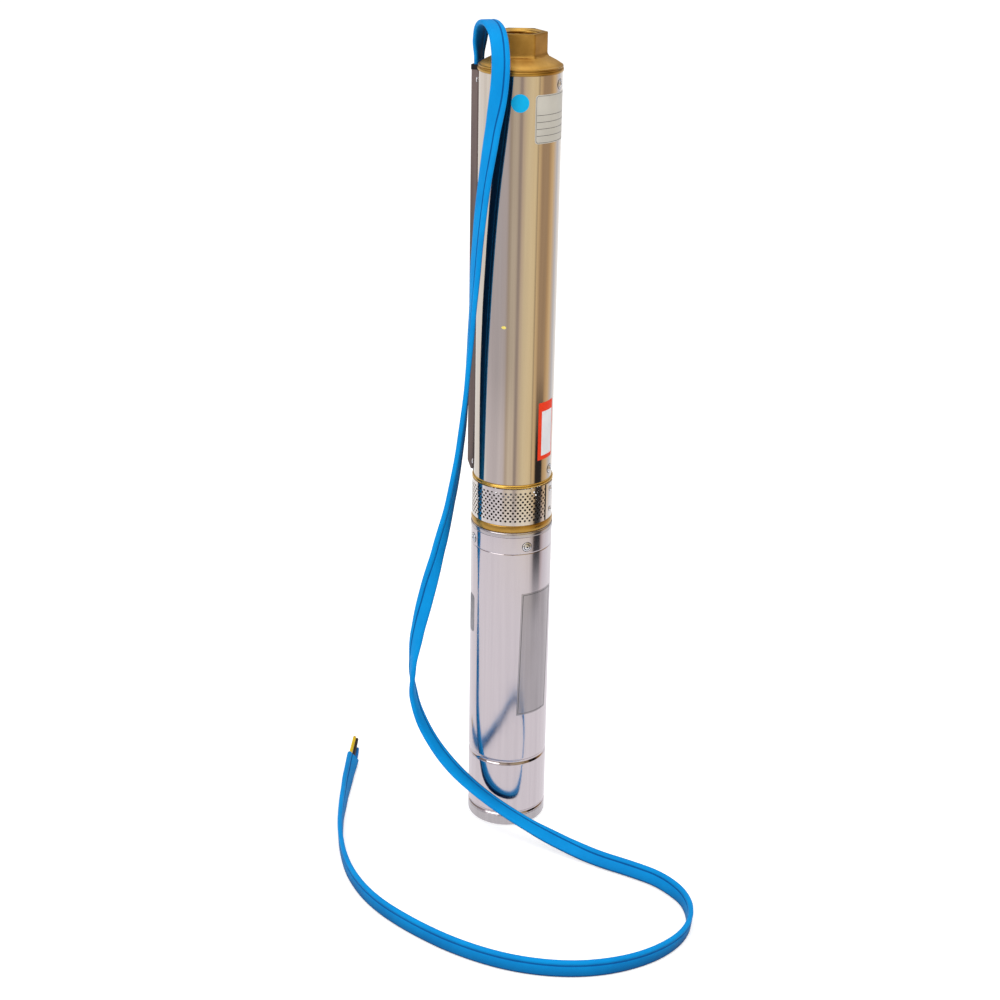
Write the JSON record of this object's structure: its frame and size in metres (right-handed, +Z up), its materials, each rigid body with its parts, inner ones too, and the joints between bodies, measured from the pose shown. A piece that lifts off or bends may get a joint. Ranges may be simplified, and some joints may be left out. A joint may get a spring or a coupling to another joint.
{
  "type": "borehole_pump",
  "caption": "A slender stainless borehole pump with a brass outlet head, a perforated suction strainer, a sealed motor below and a flat blue supply cable.",
  "frame": {"origin": "centre of the bottom cap's flat underside", "axes": "+Z runs up the pump's axis to the outlet, +X to the right and -Y to the front, where the bordered label is"},
  "size_m": [0.3513, 0.4085, 0.8008],
  "materials": {
    "motor_steel": "polished stainless tube",
    "polished_steel": "polished stainless tube",
    "lip_steel": "machined",
    "sheet_steel": "satin sheet",
    "screw_steel": "plain",
    "shaft_steel": "ground",
    "core_steel": "stacked laminations",
    "cast_brass": "cast and turned",
    "housing_iron": "cast",
    "black_rubber": "moulded",
    "stage_plastic": "moulded",
    "clip_plastic": "moulded",
    "cable_blue": "smooth sheath",
    "core_plastic": "insulated cores",
    "winding_resin": "varnished windings",
    "sleeve_carbon": "carbon",
    "seal_ceramic": "lapped"
  },
  "bodies": {
    "housing": {"bottom_cap": "motor_steel", "motor_shell": "motor_steel", "upper_end_bell": "lip_steel", "motor_screws": "screw_steel", "diaphragm": "black_rubber", "lower_bearing_housing": "housing_iron", "bearing_sleeves": "sleeve_carbon", "thrust_plate": "sleeve_carbon", "stator_core": "core_steel", "stator_windings": "winding_resin", "seal_seat": "seal_ceramic", "cable_gland": "black_rubber", "suction_bracket": "cast_brass", "strainer": "sheet_steel", "strainer_screws": "screw_steel", "pump_shell": "polished_steel", "diffuser_stack": "stage_plastic", "bearing_spider": "stage_plastic", "top_bearing": "black_rubber", "discharge_head": "cast_brass", "shell_screws": "screw_steel", "cable_guard": "sheet_steel", "cable_clip": "clip_plastic", "guarded_cable": "cable_blue", "valve_guide": "stage_plastic", "valve_spring": "screw_steel", "supply_cable": "cable_blue", "cable_cores": "core_plastic"},
    "rotor": {"motor_shaft": "shaft_steel", "rotor_core": "core_steel", "thrust_runner": "shaft_steel", "seal_ring": "sleeve_carbon", "shaft_coupling": "shaft_steel", "pump_shaft": "shaft_steel", "shaft_sleeve": "shaft_steel", "impellers": "stage_plastic"},
    "valve": {"valve_poppet": "cast_brass", "valve_seal": "black_rubber"}
  },
  "joints": [
    {"name": "rotor_spin", "type": "hinge", "parent": "housing", "child": "rotor", "pos_m": [0, 0, 0.35], "axis": [0, 0, 1], "continuous": true},
    {"name": "valve_lift", "type": "slide", "parent": "housing", "child": "valve", "axis": [0, 0, 1], "range_m": [0, 0.006], "stiffness_N_per_m": 60, "springref_m": -0.004, "deforming": ["valve_spring"]}
  ]
}
